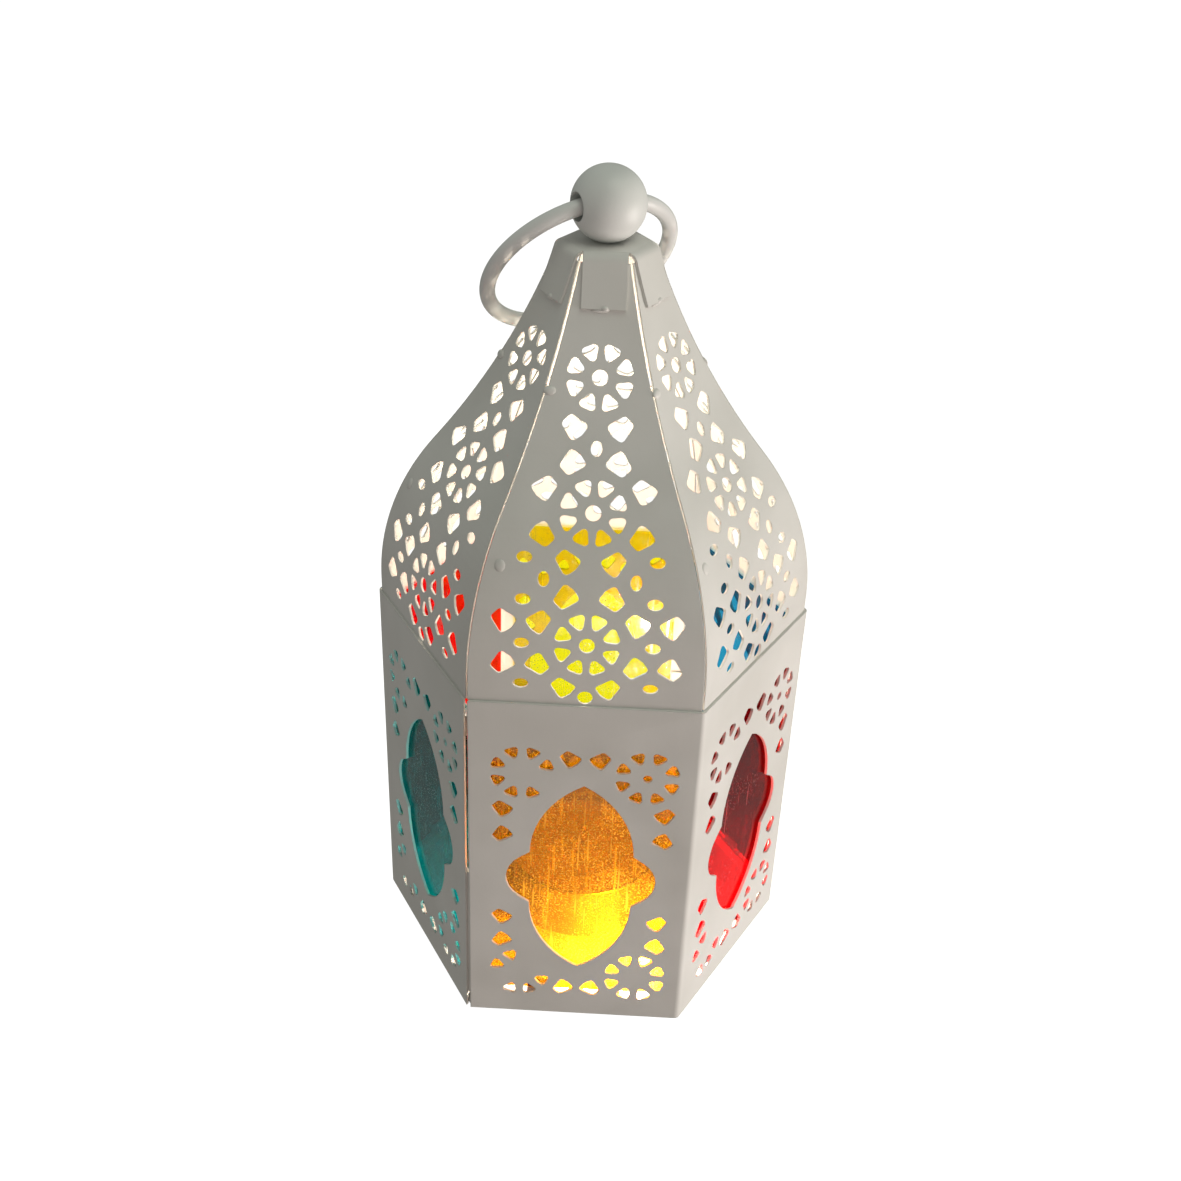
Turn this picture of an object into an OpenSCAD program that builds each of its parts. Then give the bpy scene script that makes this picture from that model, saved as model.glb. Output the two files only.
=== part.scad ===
// Six-sided candle lantern: a pierced, folded sheet body glazed with coloured panes,
// a dome of six pierced petals, a cap, a ball finial with a hanging ring, and a push-fit
// base that carries a tealight. +Z is up and the origin is the middle of the underside.

/* [Body] */
// Width of one body panel, outside corner to outside corner
panel_w = 48; // [46:0.2:60]
// Height of the body walls
body_h = 85.5; // [84:0.1:110]
// Thickness of the body sheet
wall_t = 0.6; // [0.4:0.02:1]
// Outside radius of the folded corners
fold_r = 1.4; // [1.2:0.1:2.5]
// Gap at the two corners where the half shells meet
seam_gap = 1; // [0.2:0.1:1.4]
// Height of the strip that joins the half shells inside each open corner
strip_h = 36; // [10:1:60]
// Gap between that strip's edge and a pane, along the wall
strip_pane_gap = 0.3; // [0.1:0.05:1]
// Thickness of the joining strip
strip_t = 0.6; // [0.4:0.02:1]
// Gap between the tray's lip and the joining strips
strip_gap = 0.6; // [0.2:0.1:2]

/* [Body holes] */
// Distance of the pattern's middle below half the wall height
pattern_drop = 2.6; // [0:0.1:4]
// Distance of the pattern's middle to the right of the panel's middle, seen from outside
pattern_shift = 0.6; // [0:0.1:1]
// Height of the window, point to point
window_h = 51; // [40:1:54]
// Width of the window between its shoulders
window_w = 22.1; // [16:0.1:24]
// Width of the window between the points of its side lobes, before they are rounded
window_span = 42; // [34:0.2:44]
// Height of the side lobes where they leave the window
lobe_h = 14.2; // [8:0.2:16]
// Radius that rounds the point of a side lobe
lobe_r = 6.8; // [4:0.1:7]
// Distance from a panel's side edge to the middle of a rosette
rosette_inset = 11.1; // [10:0.1:13]
// Height of the rosettes above and below the pattern's middle
rosette_rise = 28.15; // [26:0.05:30]
// Radius of the ring of holes in a body rosette
rosette_ring = 5.2; // [4.5:0.1:5.5]
// Length of one petal-shaped hole in a body rosette
rosette_hole = 2.95; // [2:0.05:3.2]
// Radius of the dot in the upper right rosette
body_dot_r = 0.95; // [0.5:0.05:1.5]
// Distance from a panel's side edge to the side kites
kite_inset = 6.85; // [6:0.05:8]
// Height of the inner side kites above and below the middle
kite_rise_low = 11.5; // [11:0.05:13]
// Height of the outer side kites above and below the middle
kite_rise_high = 18.65; // [17:0.05:20]
// Distance of the top and bottom kites from the pattern's middle
kite_end_rise = 32.3; // [30:0.1:34]
// Half the distance between the two kites of an end pair
kite_end_x = 3.25; // [2.8:0.05:4]
// Length of a body kite along its axis
body_kite = 3.7; // [3:0.1:4.5]

/* [Dome] */
// Thickness of the dome sheet
petal_t = 0.5; // [0.3:0.02:0.8]
// How far the petals reach down inside the body walls
skirt_h = 3.5; // [2:0.5:6]
// Straight height of the petals above the body walls
eave_h = 3.9; // [2:0.1:6]
// Radius of the bulging lower part of a petal
crown_r = 58.8; // [50:0.2:75]
// Lean from upright where the bulge turns into the hollow neck
crown_angle = 35.5; // [30:0.5:40]
// Radius of the hollow neck
neck_r = 154; // [120:1:200]
// Lean from upright at the top of a petal
neck_angle = 17.95; // [14:0.05:22]
// Gap between petals along the lower ridge
ridge_gap = 0.4; // [0.1:0.05:0.6]
// Gap between petals along the upper ridge
ridge_gap_top = 0.7; // [0.3:0.05:1]
// Distance up the petal at which the gap widens
ridge_step = 60; // [40:1:70]

/* [Dome holes] */
// Distance up the petal to the middle of the lowest rosette
dome_rosette_s = 9.7; // [8:0.1:12]
// Spacing of the rosettes up the petal
dome_pitch = 26.1; // [24:0.1:28]
// Radius of the ring of holes in a dome rosette
dome_ring = 4.9; // [4:0.1:5.5]
// Length of one petal-shaped hole in a dome rosette
dome_hole = 3.2; // [2.4:0.1:3.4]
// Radius of the round hole in the middle of a dome rosette
dome_dot_r = 1.55; // [1:0.05:1.8]
// Short offset of a kite from its rosette; the long offset is twice this
dome_kite_step = 4.7; // [4.4:0.05:5]
// Length of a dome kite along its axis
dome_kite = 4.1; // [3:0.1:4.6]
// Length of a small oval hole
oval_l = 3.1; // [2:0.1:3.4]
// Width of a small oval hole
oval_w = 2.25; // [1.6:0.05:2.4]
// Spacing of the four ovals of a diamond from its middle
oval_step = 4.1; // [3.8:0.1:4.6]
// How far the outer ovals of a diamond stand in towards its middle line
oval_inset = 0.2; // [0:0.05:0.5]
// Distance of the topmost oval below the middle between two rosettes
oval_drop = 0.6; // [0:0.1:1]
// Distance of the lowest dot above the middle between two rosettes
low_dot_rise = 1.3; // [0.8:0.1:2]
// Least sheet left between a hole and a petal's edge
petal_margin = 1.1; // [0.8:0.1:2]

/* [Cap and finial] */
// Thickness of the cap sheet
cap_t = 0.6; // [0.4:0.02:1]
// Length of a cap tab measured down the dome
tab_l = 8.8; // [6:0.1:14]
// Width of a cap tab
tab_w = 8.7; // [7:0.1:9]
// Outside radius of the bend at the cap's edge
cap_bend_r = 2.2; // [1:0.1:3]
// Gap between a tab and the petal under it
tab_gap = 0.02; // [0.01:0.01:0.1]
// Diameter of the ball
ball_d = 15; // [12:0.1:19]
// Diameter of the flat under the ball
ball_flat_d = 4.4; // [4.2:0.1:6]
// Thread diameter of the finial screw
screw_d = 3; // [2:0.1:3.6]
// Diameter of the finial screw's head
screw_head_d = 5.6; // [5:0.1:7]
// Height of the screw head
screw_head_h = 2; // [1.5:0.1:3]
// Bevel round the screw head
screw_bevel = 0.5; // [0.2:0.1:0.8]
// Width and depth of the slot in the screw head
screw_slot = 0.8; // [0.5:0.1:1]
// Metal between the screw's end and the ball's bore
screw_web = 0.5; // [0.4:0.1:2]
// Depth of the ball's threaded hole past the screw's end
screw_relief = 0.3; // [0.1:0.05:0.3]
// Diameter of the washer
washer_d = 9; // [8:0.5:12]
// Thickness of the washer
washer_t = 0.6; // [0.4:0.1:1]

/* [Ring] */
// Radius of the ring to the middle of its wire
ring_r = 19.8; // [15:0.1:24]
// Diameter of the ring wire
ring_wire_d = 3.2; // [2.4:0.02:4]
// Play of the ring in the ball
ring_play = 0.44; // [0.2:0.02:0.8]
// Gap between the ring at rest and the dome
ring_rest_gap = 0.3; // [0.1:0.05:1]

/* [Glazing] */
// Thickness of a pane
pane_t = 1; // [0.6:0.05:1.6]
// Stand-off of the pane behind the wall
pane_gap = 0.5; // [0.3:0.05:1]
// Height of the pane's lower edge above the underside
pane_z = 6.6; // [6:0.1:8]
// Distance from the inside corner of the walls to a pane's side edge
pane_inset = 3.2; // [3:0.1:5]
// Width of a pane clip
clip_w = 5; // [3:0.5:8]
// Thickness of a pane clip
clip_t = 0.5; // [0.3:0.05:0.8]
// Gap between a pane's top edge and the skirt of the dome
pane_top_gap = 0.4; // [0.2:0.1:4]
// Distance of the lower clips from the middle of their panel
clip_x = 8; // [6:0.5:14]
// Distance of the side clips below a pane's top edge
clip_drop = 3.2; // [2.6:0.1:6]
// Length of a clip's foot on the wall
clip_foot = 1.9; // [1.5:0.1:2.2]
// Reach of a clip's lip over the pane
clip_lip = 1.6; // [1:0.1:3]

/* [Base] */
// Thickness of the base tray
tray_t = 0.6; // [0.4:0.02:1]
// Height of the tray's turned-up lip
tray_h = 3.4; // [2:0.1:3.6]
// Clearance between the tray and the walls
tray_clear = 0.3; // [0.15:0.05:0.5]
// Width of the tabs that locate the tealight
stop_w = 6; // [4:0.5:8]
// Height of those tabs
stop_h = 5; // [3:0.5:7]
// Clearance between the tabs and the tealight
stop_clear = 0.4; // [0.2:0.1:1]

/* [Tealight] */
// Diameter of the tealight cup
cup_d = 38; // [31:0.1:46]
// Height of the tealight cup
cup_h = 15; // [12:0.5:20]
// Thickness of the cup's wall
cup_t = 0.4; // [0.3:0.05:0.8]
// Radius of the rolled bead round the cup's rim
cup_bead_r = 0.6; // [0.4:0.05:1]
// Depth of the wax surface below the cup's rim
wax_drop = 2; // [1:0.5:4]
// Diameter of the wick
wick_d = 1.6; // [1:0.1:2.4]
// Height of the wick above the wax
wick_h = 7; // [4:0.5:10]
// Diameter of the sustainer plate under the wick
sustainer_d = 13; // [8:1:16]
// Thickness of the sustainer's metal
sustainer_t = 0.3; // [0.2:0.05:0.6]
// Height of the sustainer's crimped neck
sustainer_h = 4; // [3:0.5:6]
// Gap between the cup and the tray
seat_gap = 0.05; // [0.02:0.01:0.2]

/* [Hidden] */
$fn = 96;

// Directions that the six panels face, in degrees round from +X
front = -90;
front_right = -30;
back_right = 30;
back = 90;
back_left = 150;
front_left = 210;
PANELS = [front, front_right, back_right, back, back_left, front_left];
// Directions of the two open corners
SEAMS = [60, 240];
// Direction of the ring's hinge, and so of the ball's bore
hinge_dir = 30;

// Distance from the axis to the outside and the inside of a wall
body_a = panel_w * cos(30);
inner_a = body_a - wall_t;
inner_half = inner_a * tan(30);
pattern_z = body_h / 2 - pattern_drop;
rosette_x = panel_w / 2 - rosette_inset;
kite_x = panel_w / 2 - kite_inset;
cut = 4;
// Least inside radius of a folded corner
least_fold_r = 0.2;

// The petal sheet's middle line: straight skirt and eave, bulging crown, hollow neck
petal_a = inner_a - petal_t / 2;
eave_z = body_h + eave_h;
skirt_z = body_h - skirt_h;
crown_len = crown_r * crown_angle * PI / 180;
neck_len = neck_r * (crown_angle - neck_angle) * PI / 180;
petal_len = crown_len + neck_len;
crown_a = petal_a - crown_r * (1 - cos(crown_angle));
crown_z = eave_z + crown_r * sin(crown_angle);
neck_centre_a = crown_a + neck_r * cos(crown_angle);
neck_centre_z = crown_z + neck_r * sin(crown_angle);
skirt_half = (inner_a - petal_t) * tan(30) - fold_r;
// Flats that stand for the bends of the crown and of the neck
crown_steps = 18;
neck_steps = 14;

// Cap: the tabs lie on the neck, and the bend and the flat top close it
tab_r = neck_r - petal_t / 2 - tab_gap;
tab_low_angle = neck_angle + tab_l / tab_r * 180 / PI;
cap_bend_a = neck_centre_a - tab_r * cos(neck_angle) - (cap_bend_r - cap_t) * cos(neck_angle);
cap_bend_z = neck_centre_z - tab_r * sin(neck_angle) - (cap_bend_r - cap_t) * sin(neck_angle);
cap_z = cap_bend_z + cap_bend_r;

// Ball and ring: the ring's arc bows to both sides of the bore's axis by half its sag
ball_r = ball_d / 2;
wire_r = ring_wire_d / 2;
ball_z = cap_z + sqrt(pow(ball_r, 2) - pow(ball_flat_d / 2, 2));
ring_sag = ring_r - sqrt(pow(ring_r, 2) - pow(ball_r, 2));
ring_centre = ring_r - ring_sag / 2;
ring_reach = ring_centre + ring_r;
bore_r = wire_r + ring_sag / 2 + ring_play;
screw_top = ball_z - bore_r - screw_web;
screw_hole_clear = 0.2;
tilt_step = 0.1;

pane_top = skirt_z - pane_top_gap;
pane_half = inner_half - pane_inset;
// Width of a joining strip across its corner, so that its edges stop short of the panes
strip_w = 2 * sin(60) * (pane_inset - strip_pane_gap - strip_t / tan(60));
cup_z = tray_t + seat_gap;
wax_z = cup_z + cup_h - wax_drop;
wax_r = cup_d / 2 - cup_bead_r - cup_t;
neck_d = wick_d + 2 * sustainer_t;
stop_r = cup_d / 2 + stop_clear;
paint = "#cfcac3";
steel = "#b9b9b6";
amber = "#f0a000d0";
red = "#d8101cd0";
teal = "#0d8a86d0";

// ---- outlines -------------------------------------------------------------

function unit(v) = v / norm(v);

// Points of an arc of radius r that rounds corner b between neighbours a and c
function corner_arc(a, b, c, r, steps) =
    let (
        ua = unit(a - b),
        uc = unit(c - b),
        half = acos(ua * uc) / 2,
        centre = b + unit(ua + uc) * r / sin(half),
        from = unit(b + ua * r / tan(half) - centre),
        to = unit(b + uc * r / tan(half) - centre),
        start = atan2(from.y, from.x),
        turn = atan2(from.x * to.y - from.y * to.x, from * to)
    )
    [for (i = [0 : steps]) centre + r * [cos(start + turn * i / steps), sin(start + turn * i / steps)]];

// The outline through pts with every corner rounded to radius r
function rounded(pts, r, steps = 3) =
    let (n = len(pts))
    [for (i = [0 : n - 1]) each corner_arc(pts[(i + n - 1) % n], pts[i], pts[(i + 1) % n], r, steps)];

function hexagon(a) = [for (i = [0 : 5]) a / cos(30) * [cos(60 * i), sin(60 * i)]];

function oval(l, w) = [for (i = [0 : 15]) [w / 2 * cos(22.5 * i), l / 2 * sin(22.5 * i)]];

// One hole of a rosette: a rounded triangle whose point faces the rosette's middle
module rosette_hole_2d(l) {
    tip = -0.72 * l;
    base = 0.5 * l;
    half = 0.68 * l;
    polygon(rounded([[tip, 0], [base, -half], [base, half]], 0.24 * l));
}

// A rosette of eight holes, without those in skip, and with a dot of radius dot_r
module rosette_2d(ring, l, dot_r, skip = []) {
    for (k = [0 : 7])
        if (len(search(k, skip)) == 0)
            rotate(22.5 + 45 * k) translate([ring, 0]) rosette_hole_2d(l);
    if (dot_r > 0) circle(r = dot_r, $fn = 24);
}

// A kite: narrow at the end that points along +X, wide and a little pointed at the other
module kite_2d(l) {
    end = l / 2;
    point = -0.6 * l;
    wide = 0.56 * l;
    narrow = 0.32 * l;
    polygon(rounded([[point, 0], [-end, -wide], [end, -narrow], [end, narrow], [-end, wide]],
        0.18 * l, 2));
}

// The window: two pointed arches foot to foot, with a rounded lobe at each side
module window_2d() {
    half = window_w / 2;
    shoulder = lobe_h / 2;
    arch = window_h / 2 - shoulder;
    arch_r = (pow(half, 2) + pow(arch, 2)) / (2 * half);
    arch_turn = asin(arch / arch_r);
    upper = [for (i = [0 : 10])
        let (t = arch_turn * (1 - i / 10))
        [half - arch_r + arch_r * cos(t), shoulder + arch_r * sin(t)]];
    lobe = corner_arc([half, shoulder], [window_span / 2, 0], [half, -shoulder], lobe_r, 8);
    lower = [for (i = [10 : -1 : 0]) [upper[i].x, -upper[i].y]];
    side = concat(upper, lobe, lower);
    other = [for (i = [len(side) - 2 : -1 : 1]) [-side[i].x, side[i].y]];
    polygon(concat(side, other));
}

// All the holes of one body panel, about the middle of the panel's width
module panel_holes_2d() {
    translate([pattern_shift, pattern_z]) {
        window_2d();
        translate([-rosette_x, rosette_rise]) rosette_2d(rosette_ring, rosette_hole, 0, [7]);
        translate([rosette_x, rosette_rise]) rosette_2d(rosette_ring, rosette_hole, body_dot_r);
        translate([-rosette_x, -rosette_rise]) rosette_2d(rosette_ring, rosette_hole, 0, [0, 1, 4]);
        translate([rosette_x, -rosette_rise]) rosette_2d(rosette_ring, rosette_hole, 0);
        for (sx = [-1, 1], sy = [-1, 1]) quarter(sx, sy) {
            translate([kite_end_x, kite_end_rise]) rotate(45) kite_2d(body_kite);
            translate([kite_x, kite_rise_low]) rotate(-45) kite_2d(body_kite);
            translate([kite_x, kite_rise_high]) rotate(45) kite_2d(body_kite);
        }
    }
}

// The children mirrored to another quarter of the pattern
module quarter(sx, sy) {
    mirror([sx < 0 ? 1 : 0, 0]) mirror([0, sy < 0 ? 1 : 0]) children();
}

// ---- placing ----------------------------------------------------------------

// Children drawn flat in XY, stood up to face +X, with X to the right and Y up
module facing() {
    rotate([90, 0, 90]) children();
}

// Where the petal's middle line is at distance s up it, and how far it leans there
function petal_at(s) = s <= 0 ? [petal_a, eave_z + s]
    : s < crown_len ? let (t = s / crown_r * 180 / PI)
        [petal_a - crown_r * (1 - cos(t)), eave_z + crown_r * sin(t)]
    : let (p = crown_angle - (s - crown_len) / neck_r * 180 / PI)
        [neck_centre_a - neck_r * cos(p), neck_centre_z - neck_r * sin(p)];
function petal_lean(s) = s <= 0 ? 0
    : s < crown_len ? s / crown_r * 180 / PI
    : crown_angle - (s - crown_len) / neck_r * 180 / PI;
function petal_half(s) = petal_at(s)[0] * tan(30);

// A straight hole through the petal sheet at distance u sideways and s up
module petal_cut(u, s) {
    p = petal_at(s);
    translate([p[0], u, p[1]]) rotate([0, -petal_lean(s), 0])
        facing() linear_extrude(cut, center = true) children();
}

// ---- body -------------------------------------------------------------------

// A ring of hexagonal sheet with rounded corners, inside the outline of distance a
module sheet_ring_2d(a, t, r) {
    difference() {
        polygon(rounded(hexagon(a), r, 5));
        polygon(rounded(hexagon(a - t), max(r - t, least_fold_r), 5));
    }
}

module half_shell(panels, seam) {
    difference() {
        linear_extrude(body_h) intersection() {
            sheet_ring_2d(body_a, wall_t, fold_r);
            rotate(seam) translate([-2 * panel_w, seam_gap / 2]) square([4 * panel_w, 2 * panel_w]);
        }
        for (az = panels)
            rotate([0, 0, az]) translate([body_a - wall_t / 2, 0, 0])
                facing() linear_extrude(cut, center = true) panel_holes_2d();
    }
}

module front_shell() {
    color(paint) half_shell([front, front_right, back_right], SEAMS[1]);
}

module rear_shell() {
    color(paint) half_shell([back, back_left, front_left], SEAMS[0]);
}

module seam_strips() {
    color(paint) for (az = SEAMS)
        translate([0, 0, tray_h + strip_gap]) linear_extrude(strip_h) intersection() {
            sheet_ring_2d(inner_a, strip_t, fold_r - wall_t);
            rotate(az) translate([inner_a - 2 * strip_w, -strip_w / 2])
                square([4 * strip_w, strip_w]);
        }
}

// ---- glazing ----------------------------------------------------------------

module pane(az) {
    rotate([0, 0, az]) translate([inner_a - pane_gap - pane_t, -pane_half, pane_z])
        cube([pane_t, 2 * pane_half, pane_top - pane_z]);
}

module pane_front() {
    color(amber) pane(front);
}

module pane_front_right() {
    color(red) pane(front_right);
}

module pane_back_right() {
    color(teal) pane(back_right);
}

module pane_back() {
    color(amber) pane(back);
}

module pane_back_left() {
    color(red) pane(back_left);
}

module pane_front_left() {
    color(teal) pane(front_left);
}

// A clip's section: a foot on the wall, a step past the pane's edge and a lip over it.
// X runs inwards from the wall and Y away from the pane's edge.
module clip_2d() {
    lip = pane_gap + pane_t;
    polygon([[0, 0], [0, clip_t + clip_foot], [clip_t, clip_t + clip_foot], [clip_t, clip_t],
        [lip + clip_t, clip_t], [lip + clip_t, -clip_lip], [lip, -clip_lip], [lip, 0]]);
}

module pane_clips() {
    color(steel) for (az = PANELS, side = [-1, 1]) rotate([0, 0, az]) {
        translate([inner_a, side * clip_x + clip_w / 2, pane_z])
            rotate([90, 0, 0]) linear_extrude(clip_w) mirror([1, 0]) mirror([0, 1]) clip_2d();
        translate([inner_a, side * pane_half, pane_top - clip_drop - clip_w / 2])
            linear_extrude(clip_w) mirror([1, 0]) mirror([0, side > 0 ? 0 : 1]) clip_2d();
    }
}

// ---- dome -------------------------------------------------------------------

// A point of the sheet's face at distance s up it and out from its middle line
function petal_face(s, out) = petal_at(s) + out * [cos(petal_lean(s)), sin(petal_lean(s))];

// The bent sheet before its sides are cut
module petal_sheet() {
    bends = concat(
        [skirt_z - eave_z],
        [for (i = [0 : crown_steps]) crown_len * i / crown_steps],
        [for (i = [1 : neck_steps]) crown_len + neck_len * i / neck_steps]
    );
    last = len(bends) - 1;
    rotate([90, 0, 0]) linear_extrude(2 * panel_w, center = true) polygon(concat(
        [for (s = bends) petal_face(s, petal_t / 2)],
        [for (i = [last : -1 : 0]) petal_face(bends[i], -petal_t / 2)]
    ));
}

// The sixth of the plan that one petal may fill, with half a gap at each side
module sector(gap, low, high) {
    far = 3 * panel_w;
    translate([0, 0, low]) linear_extrude(high - low)
        polygon([[gap, 0], [far, -(far - gap) * tan(30)], [far, (far - gap) * tan(30)]]);
}

// What is trimmed off both sides of the petal where the ridge gap is wider
module ridge_trim(low, high) {
    difference() {
        translate([0, -panel_w, low]) cube([panel_w, 2 * panel_w, high - low]);
        sector(ridge_gap_top, low - 1, high + 1);
    }
}

// What is trimmed off both sides of the skirt so that it passes the folded corners
module skirt_trim() {
    for (side = [-1, 1])
        translate([0, side > 0 ? skirt_half : -skirt_half - panel_w, skirt_z - 1])
            cube([panel_w, panel_w, skirt_h + 1]);
}

// Holes of one petal: rosettes up the middle, pairs of kites facing across each diagonal,
// and small ovals between, wherever the petal is wide enough
module petal_holes() {
    for (row = [0 : 2]) {
        s0 = dome_rosette_s + row * dome_pitch;
        petal_ring(s0);
        for (sx = [-1, 1], sy = [-1, 1], long = [0, 1], col = [0, 1]) {
            u = sx * (col * dome_pitch + (col == 1 ? -1 : 1) * (1 + long) * dome_kite_step);
            s = s0 + sy * (2 - long) * dome_kite_step;
            if (petal_half(s + dome_kite / 2) - abs(u) > dome_kite / 2 + petal_margin)
                petal_cut(u, s) rotate(kite_turn(sx, sy, long, col)) kite_2d(dome_kite);
        }
    }
    petal_cut(0, dome_rosette_s + 1.5 * dome_pitch - oval_drop) polygon(oval(oval_l, oval_w));
    petal_cut(0, dome_rosette_s - dome_pitch / 2 + low_dot_rise) circle(r = dome_dot_r, $fn = 24);
    mid_s = dome_rosette_s + dome_pitch / 2;
    for (sx = [-1, 1]) {
        petal_cut(sx * (dome_pitch / 2 - oval_step), mid_s) polygon(oval(oval_l, oval_w));
        for (s = [mid_s + oval_step, mid_s - oval_step, dome_rosette_s, mid_s - dome_pitch + oval_step])
            petal_cut(sx * (dome_pitch / 2 - oval_inset), s) polygon(oval(oval_w, oval_l));
    }
}

// The narrow end of a kite faces its twin across the rosette's diagonal
function kite_turn(sx, sy, long, col) =
    let (side = col == 1 ? -sx : sx)
    atan2(long == 0 ? -sy : sy, long == 0 ? side : -side);

// A rosette of eight holes round a dot on the petal's middle line
module petal_ring(s0) {
    for (k = [0 : 7]) {
        a = 22.5 + 45 * k;
        petal_cut(dome_ring * cos(a), s0 + dome_ring * sin(a)) rotate(a) rosette_hole_2d(dome_hole);
    }
    petal_cut(0, s0) circle(r = dome_dot_r, $fn = 24);
}

module petal(az) {
    color(paint) rotate([0, 0, az]) difference() {
        intersection() {
            petal_sheet();
            sector(ridge_gap, skirt_z - 1, cap_z + 1);
        }
        ridge_trim(petal_at(ridge_step)[1], cap_z + 1);
        skirt_trim();
        petal_holes();
    }
}

module petal_front() {
    petal(front);
}

module petal_front_right() {
    petal(front_right);
}

module petal_back_right() {
    petal(back_right);
}

module petal_back() {
    petal(back);
}

module petal_back_left() {
    petal(back_left);
}

module petal_front_left() {
    petal(front_left);
}

// ---- cap, ball and ring -------------------------------------------------------

// A point on a tab at lean p, at distance r from the neck's centre
function tab_point(p, r) = [neck_centre_a - r * cos(p), neck_centre_z - r * sin(p)];

// Section of one tab and its bend, X away from the axis and Y up
module tab_2d() {
    steps = 10;
    span = tab_low_angle - neck_angle;
    turn = 90 - neck_angle;
    bend = [cap_bend_a, cap_bend_z];
    inner_bend_r = cap_bend_r - cap_t;
    polygon(concat(
        [for (i = [0 : steps]) tab_point(tab_low_angle - span * i / steps, tab_r - cap_t)],
        [for (i = [1 : steps])
            let (t = neck_angle + turn * i / steps)
            bend + cap_bend_r * [cos(t), sin(t)]],
        [[cap_bend_a - 1, cap_z], [cap_bend_a - 1, cap_z - cap_t]],
        [for (i = [steps : -1 : 1])
            let (t = neck_angle + turn * i / steps)
            bend + inner_bend_r * [cos(t), sin(t)]],
        [for (i = [steps : -1 : 0]) tab_point(tab_low_angle - span * i / steps, tab_r)]
    ));
}

module top_cap() {
    color(paint) difference() {
        union() {
            translate([0, 0, cap_z - cap_t]) cylinder(r = cap_bend_a / cos(30), h = cap_t, $fn = 6);
            for (az = PANELS)
                rotate([0, 0, az]) rotate([90, 0, 0]) linear_extrude(tab_w, center = true) tab_2d();
        }
        translate([0, 0, cap_z - 2 * cap_t]) cylinder(d = screw_d + 2 * screw_hole_clear, h = 4 * cap_t);
    }
}

module ball_finial() {
    color(steel) difference() {
        translate([0, 0, ball_z]) sphere(r = ball_r);
        translate([0, 0, cap_z - ball_d]) cylinder(d = 2 * ball_d, h = ball_d);
        translate([0, 0, ball_z]) rotate([0, 0, hinge_dir]) rotate([0, 90, 0])
            cylinder(r = bore_r, h = 2 * ball_d, center = true);
        translate([0, 0, cap_z - 1]) cylinder(d = screw_d, h = screw_top + screw_relief - cap_z + 1);
    }
}

module finial_washer() {
    color(steel) translate([0, 0, cap_z - cap_t - washer_t]) difference() {
        cylinder(d = washer_d, h = washer_t);
        translate([0, 0, -1]) cylinder(d = screw_d + 2 * screw_hole_clear, h = washer_t + 2);
    }
}

module finial_screw() {
    head_z = cap_z - cap_t - washer_t - screw_head_h;
    color(steel) difference() {
        union() {
            translate([0, 0, head_z])
                cylinder(d1 = screw_head_d - 2 * screw_bevel, d2 = screw_head_d, h = screw_bevel);
            translate([0, 0, head_z + screw_bevel])
                cylinder(d = screw_head_d, h = screw_head_h - screw_bevel);
            translate([0, 0, head_z]) cylinder(d = screw_d, h = screw_top - head_z);
        }
        translate([-screw_head_d, -screw_slot / 2, head_z - 1])
            cube([2 * screw_head_d, screw_slot, 1 + screw_slot]);
    }
}

// The dome's ridge, and the cap's corner above it, that the ring leans on
ridge_points = concat(
    [for (s = [0 : 0.5 : petal_len]) [(petal_at(s)[0] + petal_t / 2) / cos(30), petal_at(s)[1]]],
    [for (i = [0 : 8])
        let (p = tab_point(neck_angle + (tab_low_angle - neck_angle) * i / 8, tab_r - cap_t))
        [p[0], p[1]]],
    [[cap_bend_a + cap_bend_r, cap_z]]
);

// True while the wire at the ring's far side is too near the ridge at this lean
function ring_touches(lean) =
    let (wire = [ring_reach * sin(lean), ball_z - ring_reach * cos(lean)])
    min([for (p = ridge_points) norm(wire - p)]) < wire_r + ring_rest_gap;

// Lean of the hanging ring from straight down, where it first comes to rest
ring_lean = max([for (lean = [10 : tilt_step : 110]) if (ring_touches(lean)) lean]) + tilt_step;

module ring_handle() {
    joint_angle = 1;
    color(steel) translate([0, 0, ball_z]) rotate([0, 0, hinge_dir]) rotate([ring_lean, 0, 0])
        translate([0, 0, -ring_centre]) rotate([90, 0, 0])
            rotate([0, 0, joint_angle / 2]) rotate_extrude(angle = 360 - joint_angle, $fn = 180)
                translate([ring_r, 0]) circle(r = wire_r, $fn = 48);
}

// ---- base and tealight ----------------------------------------------------------

module base_tray() {
    a = inner_a - tray_clear;
    r = fold_r - wall_t;
    color(paint) difference() {
        union() {
            linear_extrude(tray_t) polygon(rounded(hexagon(a), r, 5));
            linear_extrude(tray_h) sheet_ring_2d(a, tray_t, r);
            for (k = [0 : 3]) rotate([0, 0, 45 + 90 * k]) translate([stop_r, -stop_w / 2, 0])
                cube([tray_t, stop_w, tray_t + stop_h]);
        }
        for (k = [0 : 3]) rotate([0, 0, 45 + 90 * k])
            translate([stop_r + tray_t, -stop_w / 2, -1]) cube([stop_h, stop_w, tray_t + 2]);
    }
}

module tealight_cup() {
    wall_r = cup_d / 2 - cup_bead_r;
    color(steel) translate([0, 0, cup_z]) rotate_extrude() union() {
        square([wall_r, cup_t]);
        translate([wall_r - cup_t, 0]) square([cup_t, cup_h - cup_bead_r]);
        translate([wall_r, cup_h - cup_bead_r]) circle(r = cup_bead_r, $fn = 24);
    }
}

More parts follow.
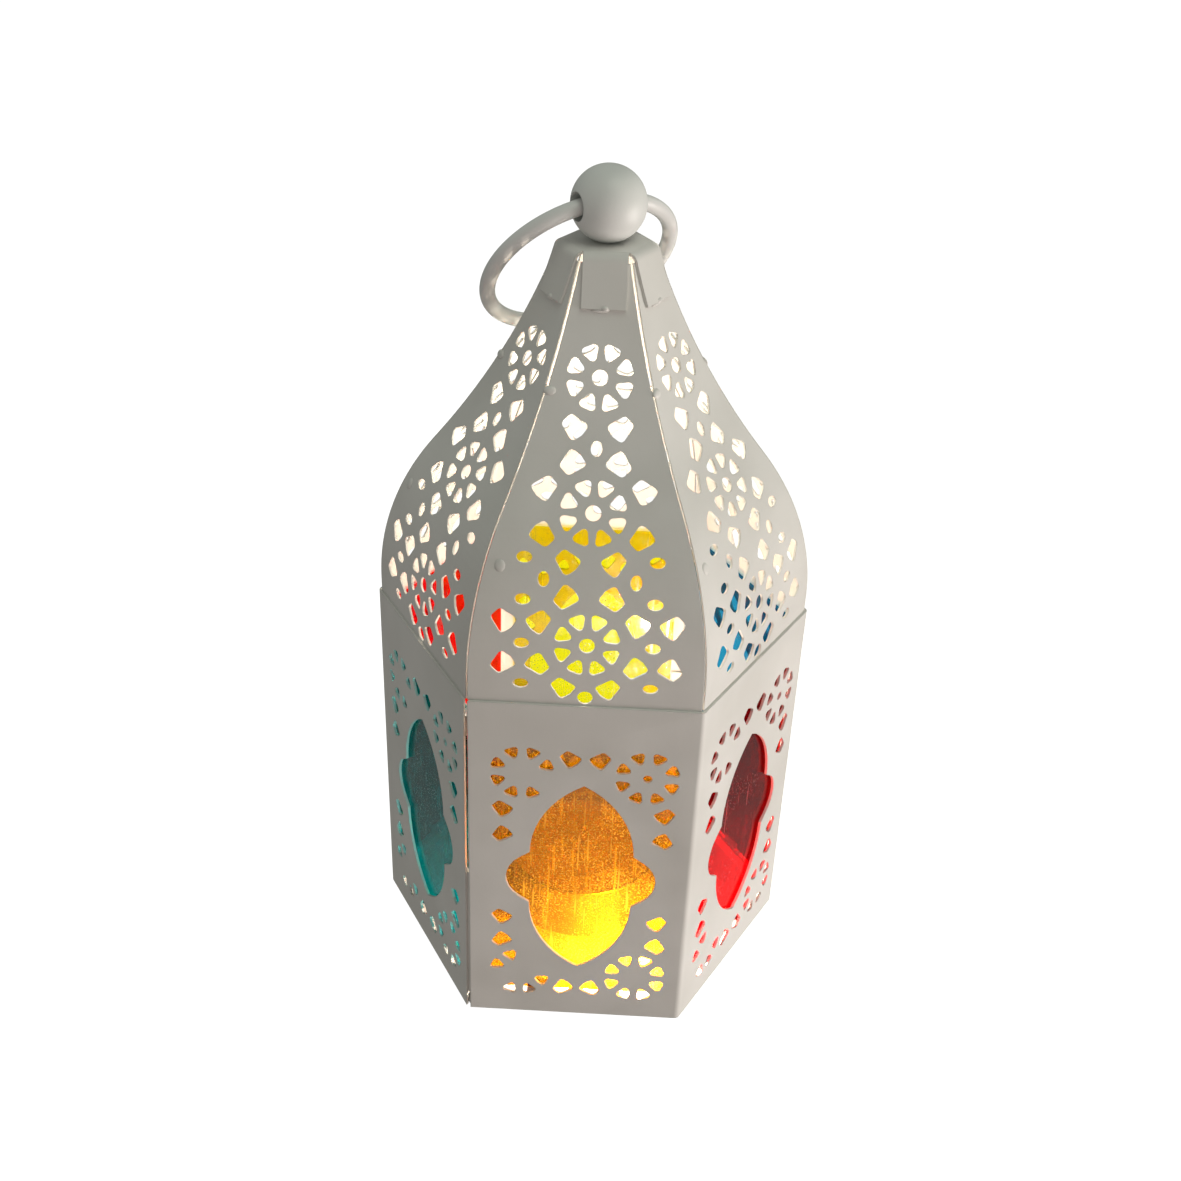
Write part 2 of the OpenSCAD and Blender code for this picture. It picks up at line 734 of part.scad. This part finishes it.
module tealight_wax() {
    color("ivory") translate([0, 0, cup_z + cup_t]) difference() {
        cylinder(r = wax_r, h = wax_z - cup_z - cup_t);
        translate([0, 0, -1]) cylinder(d = sustainer_d, h = 1 + sustainer_t);
        translate([0, 0, -1]) cylinder(d = neck_d, h = 1 + sustainer_h);
        translate([0, 0, -1]) cylinder(d = wick_d, h = cup_h);
    }
}

module wick_sustainer() {
    color(steel) translate([0, 0, cup_z + cup_t]) difference() {
        union() {
            cylinder(d = sustainer_d, h = sustainer_t);
            cylinder(d = neck_d, h = sustainer_h);
        }
        translate([0, 0, sustainer_t]) cylinder(d = wick_d, h = sustainer_h);
    }
}

module tealight_wick() {
    low = cup_z + cup_t + sustainer_t;
    color("#e8e2d0") translate([0, 0, low]) cylinder(d = wick_d, h = wax_z + wick_h - low);
}

front_shell();
rear_shell();
seam_strips();
pane_front();
pane_front_right();
pane_back_right();
pane_back();
pane_back_left();
pane_front_left();
pane_clips();
petal_front();
petal_front_right();
petal_back_right();
petal_back();
petal_back_left();
petal_front_left();
top_cap();
ball_finial();
finial_screw();
finial_washer();
ring_handle();
base_tray();
tealight_cup();
tealight_wax();
wick_sustainer();
tealight_wick();
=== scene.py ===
"""Looks of a six-sided candle lantern: powder-coated pierced sheet, coloured panes, wire ring and tealight."""

import math

import bmesh
import bpy
from mathutils import Matrix, Vector


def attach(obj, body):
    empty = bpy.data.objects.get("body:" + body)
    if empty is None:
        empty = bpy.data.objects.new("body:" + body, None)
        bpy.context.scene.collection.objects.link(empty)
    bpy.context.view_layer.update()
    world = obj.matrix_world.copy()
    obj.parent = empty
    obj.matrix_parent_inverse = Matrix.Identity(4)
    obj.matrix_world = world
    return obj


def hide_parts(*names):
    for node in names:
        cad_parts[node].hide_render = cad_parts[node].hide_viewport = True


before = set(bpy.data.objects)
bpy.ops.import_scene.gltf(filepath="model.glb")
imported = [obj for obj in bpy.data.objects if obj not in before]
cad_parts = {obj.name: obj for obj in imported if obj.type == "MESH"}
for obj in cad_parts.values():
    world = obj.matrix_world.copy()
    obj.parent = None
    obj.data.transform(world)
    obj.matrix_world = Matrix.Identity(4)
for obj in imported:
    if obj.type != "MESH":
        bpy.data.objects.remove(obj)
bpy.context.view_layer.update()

MM = 0.001
PANELS = {
    "front": -90,
    "front_right": -30,
    "back_right": 30,
    "back": 90,
    "back_left": 150,
    "front_left": 210,
}


# ---- small tools ---------------------------------------------------------------


def linear(code):
    """A six-digit sRGB hex colour as linear RGBA."""
    parts = [int(code[i : i + 2], 16) / 255 for i in (1, 3, 5)]
    return [c / 12.92 if c <= 0.04045 else ((c + 0.055) / 1.055) ** 2.4 for c in parts] + [1.0]


def add(tree, kind, inputs=None, **settings):
    """Adds one node. inputs maps a socket's name or number to a value or to another node's output."""
    node = tree.nodes.new(kind)
    for name, value in settings.items():
        setattr(node, name, value)
    for key, value in (inputs or {}).items():
        if isinstance(value, bpy.types.NodeSocket):
            tree.links.new(value, node.inputs[key])
        else:
            node.inputs[key].default_value = value
    return node


def new_material(name):
    material = bpy.data.materials.new(name)
    material.use_nodes = True
    material.node_tree.nodes.clear()
    return material, material.node_tree


def finish_material(tree, shader):
    add(tree, "ShaderNodeOutputMaterial", {"Surface": shader.outputs[0]})


def ramp(tree, value, stops):
    """A colour ramp through (position, rgba) stops."""
    node = add(tree, "ShaderNodeValToRGB", {"Fac": value})
    elements = node.color_ramp.elements
    while len(elements) < len(stops):
        elements.new(0.5)
    for element, (position, colour) in zip(elements, stops):
        element.position = position
        element.color = colour
    return node


def grey(value):
    return (value, value, value, 1.0)


# ---- materials -----------------------------------------------------------------


def powder_coat(name, colour, shade, roughness):
    """Off-white powder coat on thin steel: satin, with fine orange peel, soft hand-made dents, a little grime and the
    paint's rounding over cut edges."""
    material, tree = new_material(name)
    place = add(tree, "ShaderNodeTexCoord").outputs["Object"]
    cloud = add(tree, "ShaderNodeTexNoise", {"Vector": place, "Scale": 1 / (28 * MM), "Detail": 3.0})
    tint = ramp(tree, cloud.outputs["Fac"], [(0.35, linear(shade)), (0.65, linear(colour))])
    peel = add(tree, "ShaderNodeTexNoise", {"Vector": place, "Scale": 1 / (0.9 * MM), "Detail": 2.0})
    dents = add(tree, "ShaderNodeTexNoise", {"Vector": place, "Scale": 1 / (16 * MM), "Detail": 1.0})
    rounding = add(tree, "ShaderNodeBevel", {"Radius": 0.25 * MM}, samples=4)
    peel_bump = add(
        tree,
        "ShaderNodeBump",
        {"Height": peel.outputs["Fac"], "Strength": 0.12, "Distance": 0.15 * MM, "Normal": rounding.outputs[0]},
    )
    bump = add(
        tree,
        "ShaderNodeBump",
        {"Height": dents.outputs["Fac"], "Strength": 0.5, "Distance": 1.2 * MM, "Normal": peel_bump.outputs[0]},
    )
    shine = add(
        tree,
        "ShaderNodeMapRange",
        {"Value": cloud.outputs["Fac"], "To Min": roughness - 0.06, "To Max": roughness + 0.08},
    )
    shader = add(
        tree,
        "ShaderNodeBsdfPrincipled",
        {"Base Color": tint.outputs[0], "Roughness": shine.outputs[0], "Normal": bump.outputs[0]},
    )
    finish_material(tree, shader)
    return material


def coloured_pane(name, colour, dust_colour, haze, worn_haze, dust_share):
    """Coloured clear acetate: glossy, tinted right through, with handling scratches and dust specks that light up
    where the lamp is behind them. colour is what one face lets through, and light passes two; dust_colour is the
    colour of the film of dust, and dust_share about how much of the sheet the specks cover."""
    material, tree = new_material(name)
    place = add(tree, "ShaderNodeTexCoord").outputs["Object"]
    drawn = add(tree, "ShaderNodeMapping", {"Vector": place, "Scale": (1.0, 1.0, 0.05)})
    # Dust specks are about 0.2 mm and scratches about 0.15 mm wide, both drawn coarser to show.
    dust = add(tree, "ShaderNodeTexNoise", {"Vector": place, "Scale": 1 / (0.45 * MM), "Detail": 3.0})
    lines = add(tree, "ShaderNodeTexNoise", {"Vector": drawn.outputs[0], "Scale": 1 / (0.7 * MM), "Detail": 1.0})
    smear = add(tree, "ShaderNodeTexNoise", {"Vector": place, "Scale": 1 / (9 * MM), "Detail": 2.0})
    speck = ramp(tree, dust.outputs["Fac"], [(0.70 - dust_share, grey(0.0)), (0.79 - dust_share, grey(1.0))])
    scratch = ramp(tree, lines.outputs["Fac"], [(0.63, grey(0.0)), (0.70, grey(1.0))])
    film = ramp(tree, smear.outputs["Fac"], [(0.35, grey(0.25)), (0.7, grey(1.0))])
    marks = add(tree, "ShaderNodeMath", {0: speck.outputs[0], 1: scratch.outputs[0]}, operation="MAXIMUM")
    worn = add(tree, "ShaderNodeMath", {0: marks.outputs[0], 1: film.outputs[0]}, operation="MULTIPLY")
    cloud = add(tree, "ShaderNodeMapRange", {"Value": worn.outputs[0], "To Min": haze, "To Max": worn_haze})
    gloss = add(tree, "ShaderNodeMapRange", {"Value": worn.outputs[0], "To Min": 0.04, "To Max": 0.4})
    bump = add(tree, "ShaderNodeBump", {"Height": marks.outputs[0], "Strength": 0.25, "Distance": 0.05 * MM})
    clear = add(tree, "ShaderNodeBsdfTransparent", {"Color": linear(colour)})
    milky = add(tree, "ShaderNodeBsdfTranslucent", {"Color": linear(dust_colour)})
    mirror = add(
        tree,
        "ShaderNodeBsdfGlossy",
        {"Color": grey(1.0), "Roughness": gloss.outputs[0], "Normal": bump.outputs[0]},
    )
    # Clear plastic mirrors 4% face on and most at a graze, the same from inside as from outside on a thin sheet.
    slant = add(tree, "ShaderNodeLayerWeight", {"Blend": 0.5, "Normal": bump.outputs[0]})
    graze = add(tree, "ShaderNodeMath", {0: slant.outputs["Facing"], 1: 5.0}, operation="POWER")
    facing = add(tree, "ShaderNodeMapRange", {"Value": graze.outputs[0], "To Min": 0.04, "To Max": 0.7})
    body = add(tree, "ShaderNodeMixShader", {"Fac": cloud.outputs[0], 1: clear.outputs[0], 2: milky.outputs[0]})
    shader = add(
        tree, "ShaderNodeMixShader", {"Fac": facing.outputs["Result"], 1: body.outputs[0], 2: mirror.outputs[0]}
    )
    finish_material(tree, shader)
    return material


def plain_metal(name, colour, roughness):
    """Bright plated steel or pressed foil, with faint drawing marks."""
    material, tree = new_material(name)
    place = add(tree, "ShaderNodeTexCoord").outputs["Object"]
    marks = add(tree, "ShaderNodeTexNoise", {"Vector": place, "Scale": 1 / (1.5 * MM), "Detail": 3.0})
    shine = add(
        tree,
        "ShaderNodeMapRange",
        {"Value": marks.outputs["Fac"], "To Min": roughness - 0.05, "To Max": roughness + 0.12},
    )
    shader = add(
        tree,
        "ShaderNodeBsdfPrincipled",
        {"Base Color": linear(colour), "Metallic": 1.0, "Roughness": shine.outputs[0]},
    )
    finish_material(tree, shader)
    return material


def candle_wax(name):
    """Paraffin wax: soft, slightly see-through and faintly mottled."""
    material, tree = new_material(name)
    place = add(tree, "ShaderNodeTexCoord").outputs["Object"]
    mottle = add(tree, "ShaderNodeTexNoise", {"Vector": place, "Scale": 1 / (5 * MM), "Detail": 2.0})
    tint = ramp(tree, mottle.outputs["Fac"], [(0.3, linear("#e9e2d2")), (0.7, linear("#f6f1e6"))])
    shader = add(
        tree,
        "ShaderNodeBsdfPrincipled",
        {
            "Base Color": tint.outputs[0],
            "Roughness": 0.45,
            "Subsurface Weight": 0.6,
            "Subsurface Radius": (4 * MM, 3 * MM, 2 * MM),
            "Subsurface Scale": 1.0,
        },
    )
    finish_material(tree, shader)
    return material


def braided_wick(name):
    """Braided cotton wick: matt, with the braid's slanting bands."""
    material, tree = new_material(name)
    place = add(tree, "ShaderNodeTexCoord").outputs["Object"]
    braid = add(
        tree,
        "ShaderNodeTexWave",
        {"Vector": place, "Scale": 1 / (6 * MM), "Distortion": 1.0},
        bands_direction="DIAGONAL",
    )
    tint = ramp(tree, braid.outputs["Fac"], [(0.2, linear("#b8ad98")), (0.8, linear("#ece5d6"))])
    bump = add(tree, "ShaderNodeBump", {"Height": braid.outputs["Fac"], "Strength": 0.6, "Distance": 0.2 * MM})
    shader = add(
        tree,
        "ShaderNodeBsdfPrincipled",
        {"Base Color": tint.outputs[0], "Roughness": 0.85, "Normal": bump.outputs[0]},
    )
    finish_material(tree, shader)
    return material


# The sheet's coat is the most matt; the ball and the wire are a little shinier. Both are drawn paler than the sheet:
# on the ball this is painted light, standing in for the extra light from above that its top catches.
sheet_paint = powder_coat("powder_coated_steel_sheet", "#dddcd8", "#d2d1cc", 0.5)
ball_paint_with_painted_light = powder_coat("ball_coat_painted_paler", "#e4e6e4", "#dcdedb", 0.42)
ring_paint = powder_coat("powder_coated_wire", "#e6e7e5", "#dbdcda", 0.36)
# Bright zinc on the hidden hardware. The foil is drawn darker than bare foil: painted shade that tones down the
# lamp's glare on the cup.
zinc = plain_metal("zinc_plated_steel", "#c4c6c8", 0.3)
foil = plain_metal("aluminium_foil_painted_darker", "#9c9d9e", 0.32)
wax = candle_wax("paraffin_wax")
cotton = braided_wick("braided_cotton")
# The amber pane is the dustiest and the most scratched; the others are nearly clear
GLASS = {
    "front": coloured_pane("amber_acetate", "#e6b12c", "#ffe08a", 0.10, 0.95, 0.16),
    "front_right": coloured_pane("red_acetate", "#e5273a", "#e5273a", 0.03, 0.3, 0.13),
    "back_right": coloured_pane("blue_acetate", "#55bfd8", "#55bfd8", 0.03, 0.2, 0.13),
    "back": coloured_pane("yellow_acetate", "#f2ee38", "#f2ee38", 0.04, 0.3, 0.13),
    "back_left": coloured_pane("red_acetate_back", "#f63045", "#f63045", 0.03, 0.2, 0.13),
    "front_left": coloured_pane("teal_acetate", "#1cb6bd", "#1cb6bd", 0.02, 0.2, 0.13),
}


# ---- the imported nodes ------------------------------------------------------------


def dress(node, material):
    """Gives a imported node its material."""
    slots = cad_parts[node].data.materials
    slots.clear()
    slots.append(material)


def smoothed_copy(node, body, slot, material, angle):
    """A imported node's mesh with its doubles merged, shaded smooth across bends flatter than angle."""
    work = bmesh.new()
    work.from_mesh(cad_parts[node].data)
    bmesh.ops.remove_doubles(work, verts=work.verts, dist=0.002 * MM)
    finished(work, node + "_skin", body, slot, material, angle, node)


def finished(work, name, body, slot, material, angle, *nodes):
    """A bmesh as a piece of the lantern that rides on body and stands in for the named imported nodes."""
    mesh = bpy.data.meshes.new(name)
    work.to_mesh(mesh)
    work.free()
    mesh.materials.append(material)
    mesh.shade_smooth()
    mesh.set_sharp_from_angle(angle=math.radians(angle))
    piece = bpy.data.objects.new(name, mesh)
    bpy.context.scene.collection.objects.link(piece)
    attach(piece, body)
    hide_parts(*nodes)


def lathe(profile, steps):
    """A profile of (radius, height) in millimetres, turned about the lantern's axis."""
    work = bmesh.new()
    verts = [work.verts.new((r * MM, 0, z * MM)) for r, z in profile]
    edges = [work.edges.new(pair) for pair in zip(verts, verts[1:])]
    bmesh.ops.spin(
        work,
        geom=verts + edges,
        cent=(0, 0, 0),
        axis=(0, 0, 1),
        dvec=(0, 0, 0),
        angle=math.tau,
        steps=steps,
        use_merge=True,
    )
    bmesh.ops.remove_doubles(work, verts=work.verts, dist=0.001 * MM)
    bmesh.ops.recalc_face_normals(work, faces=work.faces)
    return work


for side in PANELS:
    dress("pane_" + side, GLASS[side])
    smoothed_copy("petal_" + side, "lantern", "painted_sheet", sheet_paint, 25)
for shell in ("front_shell", "rear_shell", "top_cap"):
    smoothed_copy(shell, "lantern", "painted_sheet", sheet_paint, 25)
for node in ("seam_strips", "base_tray"):
    dress(node, sheet_paint)
for node in ("pane_clips", "finial_screw", "finial_washer", "wick_sustainer"):
    dress(node, zinc)
smoothed_copy("ball_finial", "lantern", "ball_metal", ball_paint_with_painted_light, 40)
smoothed_copy("ring_handle", "ring", "ring_wire", ring_paint, 40)


# ---- welds and tealight --------------------------------------------------------------

# The petal's outer face: the eave's distance out and height, then the bulge and the hollow neck above it
EAVE_OUT, EAVE_UP = 40.97, 89.4
BULGE_R, BULGE_TURN, NECK_R = 58.8, math.radians(35.5), 154
BULGE_LENGTH = BULGE_R * BULGE_TURN


def on_petal(side, across, along):
    """A frame on a petal's outer face, in metres: X across it, Y up along it and Z outwards."""
    if along < BULGE_LENGTH:
        lean = along / BULGE_R
        out = EAVE_OUT - BULGE_R * (1 - math.cos(lean))
        up = EAVE_UP + BULGE_R * math.sin(lean)
    else:
        lean = BULGE_TURN - (along - BULGE_LENGTH) / NECK_R
        out = EAVE_OUT - BULGE_R * (1 - math.cos(BULGE_TURN)) + NECK_R * (math.cos(BULGE_TURN) - math.cos(lean))
        up = EAVE_UP + BULGE_R * math.sin(BULGE_TURN) + NECK_R * (math.sin(BULGE_TURN) - math.sin(lean))
    turn = Matrix.Rotation(math.radians(PANELS[side] + 90), 4, "Z")
    stand = Matrix.Rotation(math.pi / 2 - lean, 4, "X")
    return turn @ Matrix.Translation((across * MM, -out * MM, up * MM)) @ stand


def tack_welds():
    """Small painted-over weld beads, two down each ridge and a run at the foot of each cap tab. Each is given as its
    place across and up the petal, then its half width, half length and height."""
    beads = (
        (-9.6, 59.2, 1.3, 1.0, 0.45),
        (-17.5, 25.0, 1.1, 1.3, 0.25),
        (0.3, 75.1, 1.0, 0.7, 0.95),
        (-0.8, 74.7, 1.6, 0.4, 0.6),
    )
    work = bmesh.new()
    for side in PANELS:
        for across, along, width, length, height in beads:
            size = Matrix.Diagonal((width * MM, length * MM, height * MM, 1))
            bmesh.ops.create_icosphere(work, subdivisions=2, radius=1, matrix=on_petal(side, across, along) @ size)
    finished(work, "tack_welds", "lantern", "painted_sheet", sheet_paint, 60)


def pressed_cup():
    """The tealight's foil cup, with its fluted wall and rolled rim."""
    steps, flute = 120, 0.25 * MM
    fluted_low, fluted_high, floor_r = 2 * MM, 14 * MM, 15 * MM
    floor_outside = [(0, 0.65), (17.3, 0.65), (17.9, 0.85), (18.3, 1.4)]
    wall_outside = [(18.4, 2.2), (18.4, 8), (18.4, 13.8), (18.4, 14.5)]
    rim = [(18.85, 14.65), (19.0, 15.05), (18.88, 15.4), (18.5, 15.62), (18.12, 15.45), (18.0, 15.1)]
    wall_inside = [(18.0, 13.8), (18.0, 8), (18.0, 2.2)]
    floor_inside = [(17.8, 1.3), (17.4, 1.05), (0, 1.05)]
    work = lathe(floor_outside + wall_outside + rim + wall_inside + floor_inside, steps)
    for vert in work.verts:
        angle = math.atan2(vert.co.y, vert.co.x)
        reach = math.hypot(vert.co.x, vert.co.y)
        if round(angle * steps / math.tau) % 2 and fluted_low < vert.co.z < fluted_high and reach > floor_r:
            vert.co.x *= 1 - flute / reach
            vert.co.y *= 1 - flute / reach
    finished(work, "pressed_cup", "tealight", "cup_foil", foil, 40, "tealight_cup")


def cast_wax():
    """Wax that set with a raised edge at the cup and round the wick, and a shallow sink between."""
    underside = [(0, 1.37), (17.3, 1.37), (17.65, 1.6)]
    cup_edge = [(17.7, 14.05), (17.45, 13.8), (16.9, 13.64)]
    sink = [(14, 13.5), (9, 13.36), (4, 13.4), (1.9, 13.5)]
    wick_edge = [(1.2, 13.75), (0.86, 14.3), (0.5, 14.35), (0, 14.35)]
    work = lathe(underside + cup_edge + sink + wick_edge, 96)
    finished(work, "cast_wax", "tealight", "wax", wax, 50, "tealight_wax")


def twisted_wick():
    """Three cotton strands laid together, one turn every 4 mm."""
    strands, strand_r, strand_off = 3, 0.42 * MM, 0.37 * MM
    low, high, turns, steps_per_turn = 1.4 * MM, 20.6 * MM, 4.8, 16
    steps = round(turns * steps_per_turn)
    work = bmesh.new()
    for strand in range(strands):
        place = Matrix.Rotation(strand * math.tau / strands, 4, "Z") @ Matrix.Translation((strand_off, 0, low))
        ring = bmesh.ops.create_circle(work, cap_ends=True, segments=8, radius=strand_r, matrix=place)["verts"]
        edges = list({edge for vert in ring for edge in vert.link_edges})
        bmesh.ops.spin(
            work,
            geom=ring + edges + ring[0].link_faces[:],
            cent=(0, 0, 0),
            axis=(0, 0, 1),
            dvec=(0, 0, (high - low) / steps),
            angle=turns * math.tau,
            steps=steps,
        )
    bmesh.ops.recalc_face_normals(work, faces=work.faces)
    finished(work, "twisted_wick", "tealight", "wick_cotton", cotton, 60, "tealight_wick")


tack_welds()
pressed_cup()
cast_wax()
twisted_wick()


# ---- stage, light and camera -------------------------------------------------------


def pale_paper():
    """Evenly lit white paper."""
    material, tree = new_material("pale_paper")
    shader = add(
        tree,
        "ShaderNodeBsdfPrincipled",
        {
            "Base Color": linear("#ececec"),
            "Roughness": 0.9,
            "Emission Color": linear("#ffffff"),
            "Emission Strength": 0.85,
        },
    )
    finish_material(tree, shader)
    return material


def studio_part(work, name, material):
    """A part of the studio from a bmesh. It only fills the background, and neither shades nor colours the lantern."""
    mesh = bpy.data.meshes.new(name)
    work.to_mesh(mesh)
    work.free()
    mesh.materials.append(material)
    part = bpy.data.objects.new(name, mesh)
    bpy.context.scene.collection.objects.link(part)
    part.visible_diffuse = False
    part.visible_glossy = False
    part.visible_shadow = False


def studio():
    """A pale floor inside a round paper tent. The floor is low enough for the drawn-out base to stay in sight."""
    half_width, floor_drop = 4, 80 * MM
    paper = pale_paper()
    floor = bmesh.new()
    bmesh.ops.create_grid(
        floor, x_segments=1, y_segments=1, size=half_width, matrix=Matrix.Translation((0, 0, -floor_drop))
    )
    studio_part(floor, "studio_floor", paper)
    tent = bmesh.new()
    bmesh.ops.create_uvsphere(tent, u_segments=32, v_segments=16, radius=half_width)
    studio_part(tent, "studio_tent", paper)


def area_light(name, place, target, size, power, colour):
    data = bpy.data.lights.new(name, "AREA")
    data.size = size
    data.energy = power
    data.color = linear(colour)[:3]
    lamp = bpy.data.objects.new(name, data)
    bpy.context.scene.collection.objects.link(lamp)
    aim = Vector(target) - Vector(place)
    lamp.matrix_world = Matrix.Translation(place) @ aim.to_track_quat("-Z", "Y").to_matrix().to_4x4()


def point_light(name, place, radius, power, colour, seen):
    data = bpy.data.lights.new(name, "POINT")
    data.shadow_soft_size = radius
    data.energy = power
    data.color = linear(colour)[:3]
    lamp = bpy.data.objects.new(name, data)
    bpy.context.scene.collection.objects.link(lamp)
    lamp.location = place
    lamp.visible_camera = seen


def sky(colour, strength):
    world = bpy.data.worlds.new("studio_sky")
    bpy.context.scene.world = world
    world.use_nodes = True
    back = world.node_tree.nodes["Background"]
    back.inputs["Color"].default_value = linear(colour)
    back.inputs["Strength"].default_value = strength


def camera():
    """A phone held at arm's length, looking down at the lantern's front panel."""
    pitch, yaw, roll = (math.radians(a) for a in (30.79, 1.153, 2.285))
    focal_length, frame_width, sensor = 1450.4, 1181, 36
    stand = (0.00502, -0.27723, 0.25303)
    ahead = Vector((-math.sin(yaw) * math.cos(pitch), math.cos(yaw) * math.cos(pitch), -math.sin(pitch)))
    side = Vector((math.cos(yaw), math.sin(yaw), 0))
    above = side.cross(ahead)
    right = math.cos(roll) * side + math.sin(roll) * above
    up = -math.sin(roll) * side + math.cos(roll) * above
    data = bpy.data.cameras.new("camera")
    data.sensor_width = sensor
    data.lens = sensor * focal_length / frame_width
    data.clip_start = 0.01
    view = bpy.data.objects.new("camera", data)
    bpy.context.scene.collection.objects.link(view)
    turn = Matrix((right, up, -ahead)).transposed().to_4x4()
    view.matrix_world = Matrix.Translation(stand) @ turn
    bpy.context.scene.camera = view


# Each light is given its place, then its aim, width and power, or its radius and power
studio()
sky("#f7f9f2", 0.27)
area_light("key_window", (0.9, -0.20, -0.16), (0, 0, 0.09), 0.5, 7.4, "#fff5ee")
area_light("front_fill", (0.1, -0.85, -0.25), (0, 0, 0.06), 0.6, 0.78, "#ffc8c0")
area_light("overhead", (0.2, -0.2, 0.9), (0, 0, 0.15), 0.5, 1.7, "#f4fbec")
point_light("dome_glow", (0, 0, 0.118), 8 * MM, 0.05, "#fff5e2", False)
point_light("candle_glow", (0.0157, -0.0338, 0.0101), 1.5 * MM, 0.35, "#fff0dc", True)
camera()
bpy.context.scene.view_settings.view_transform = "Standard"
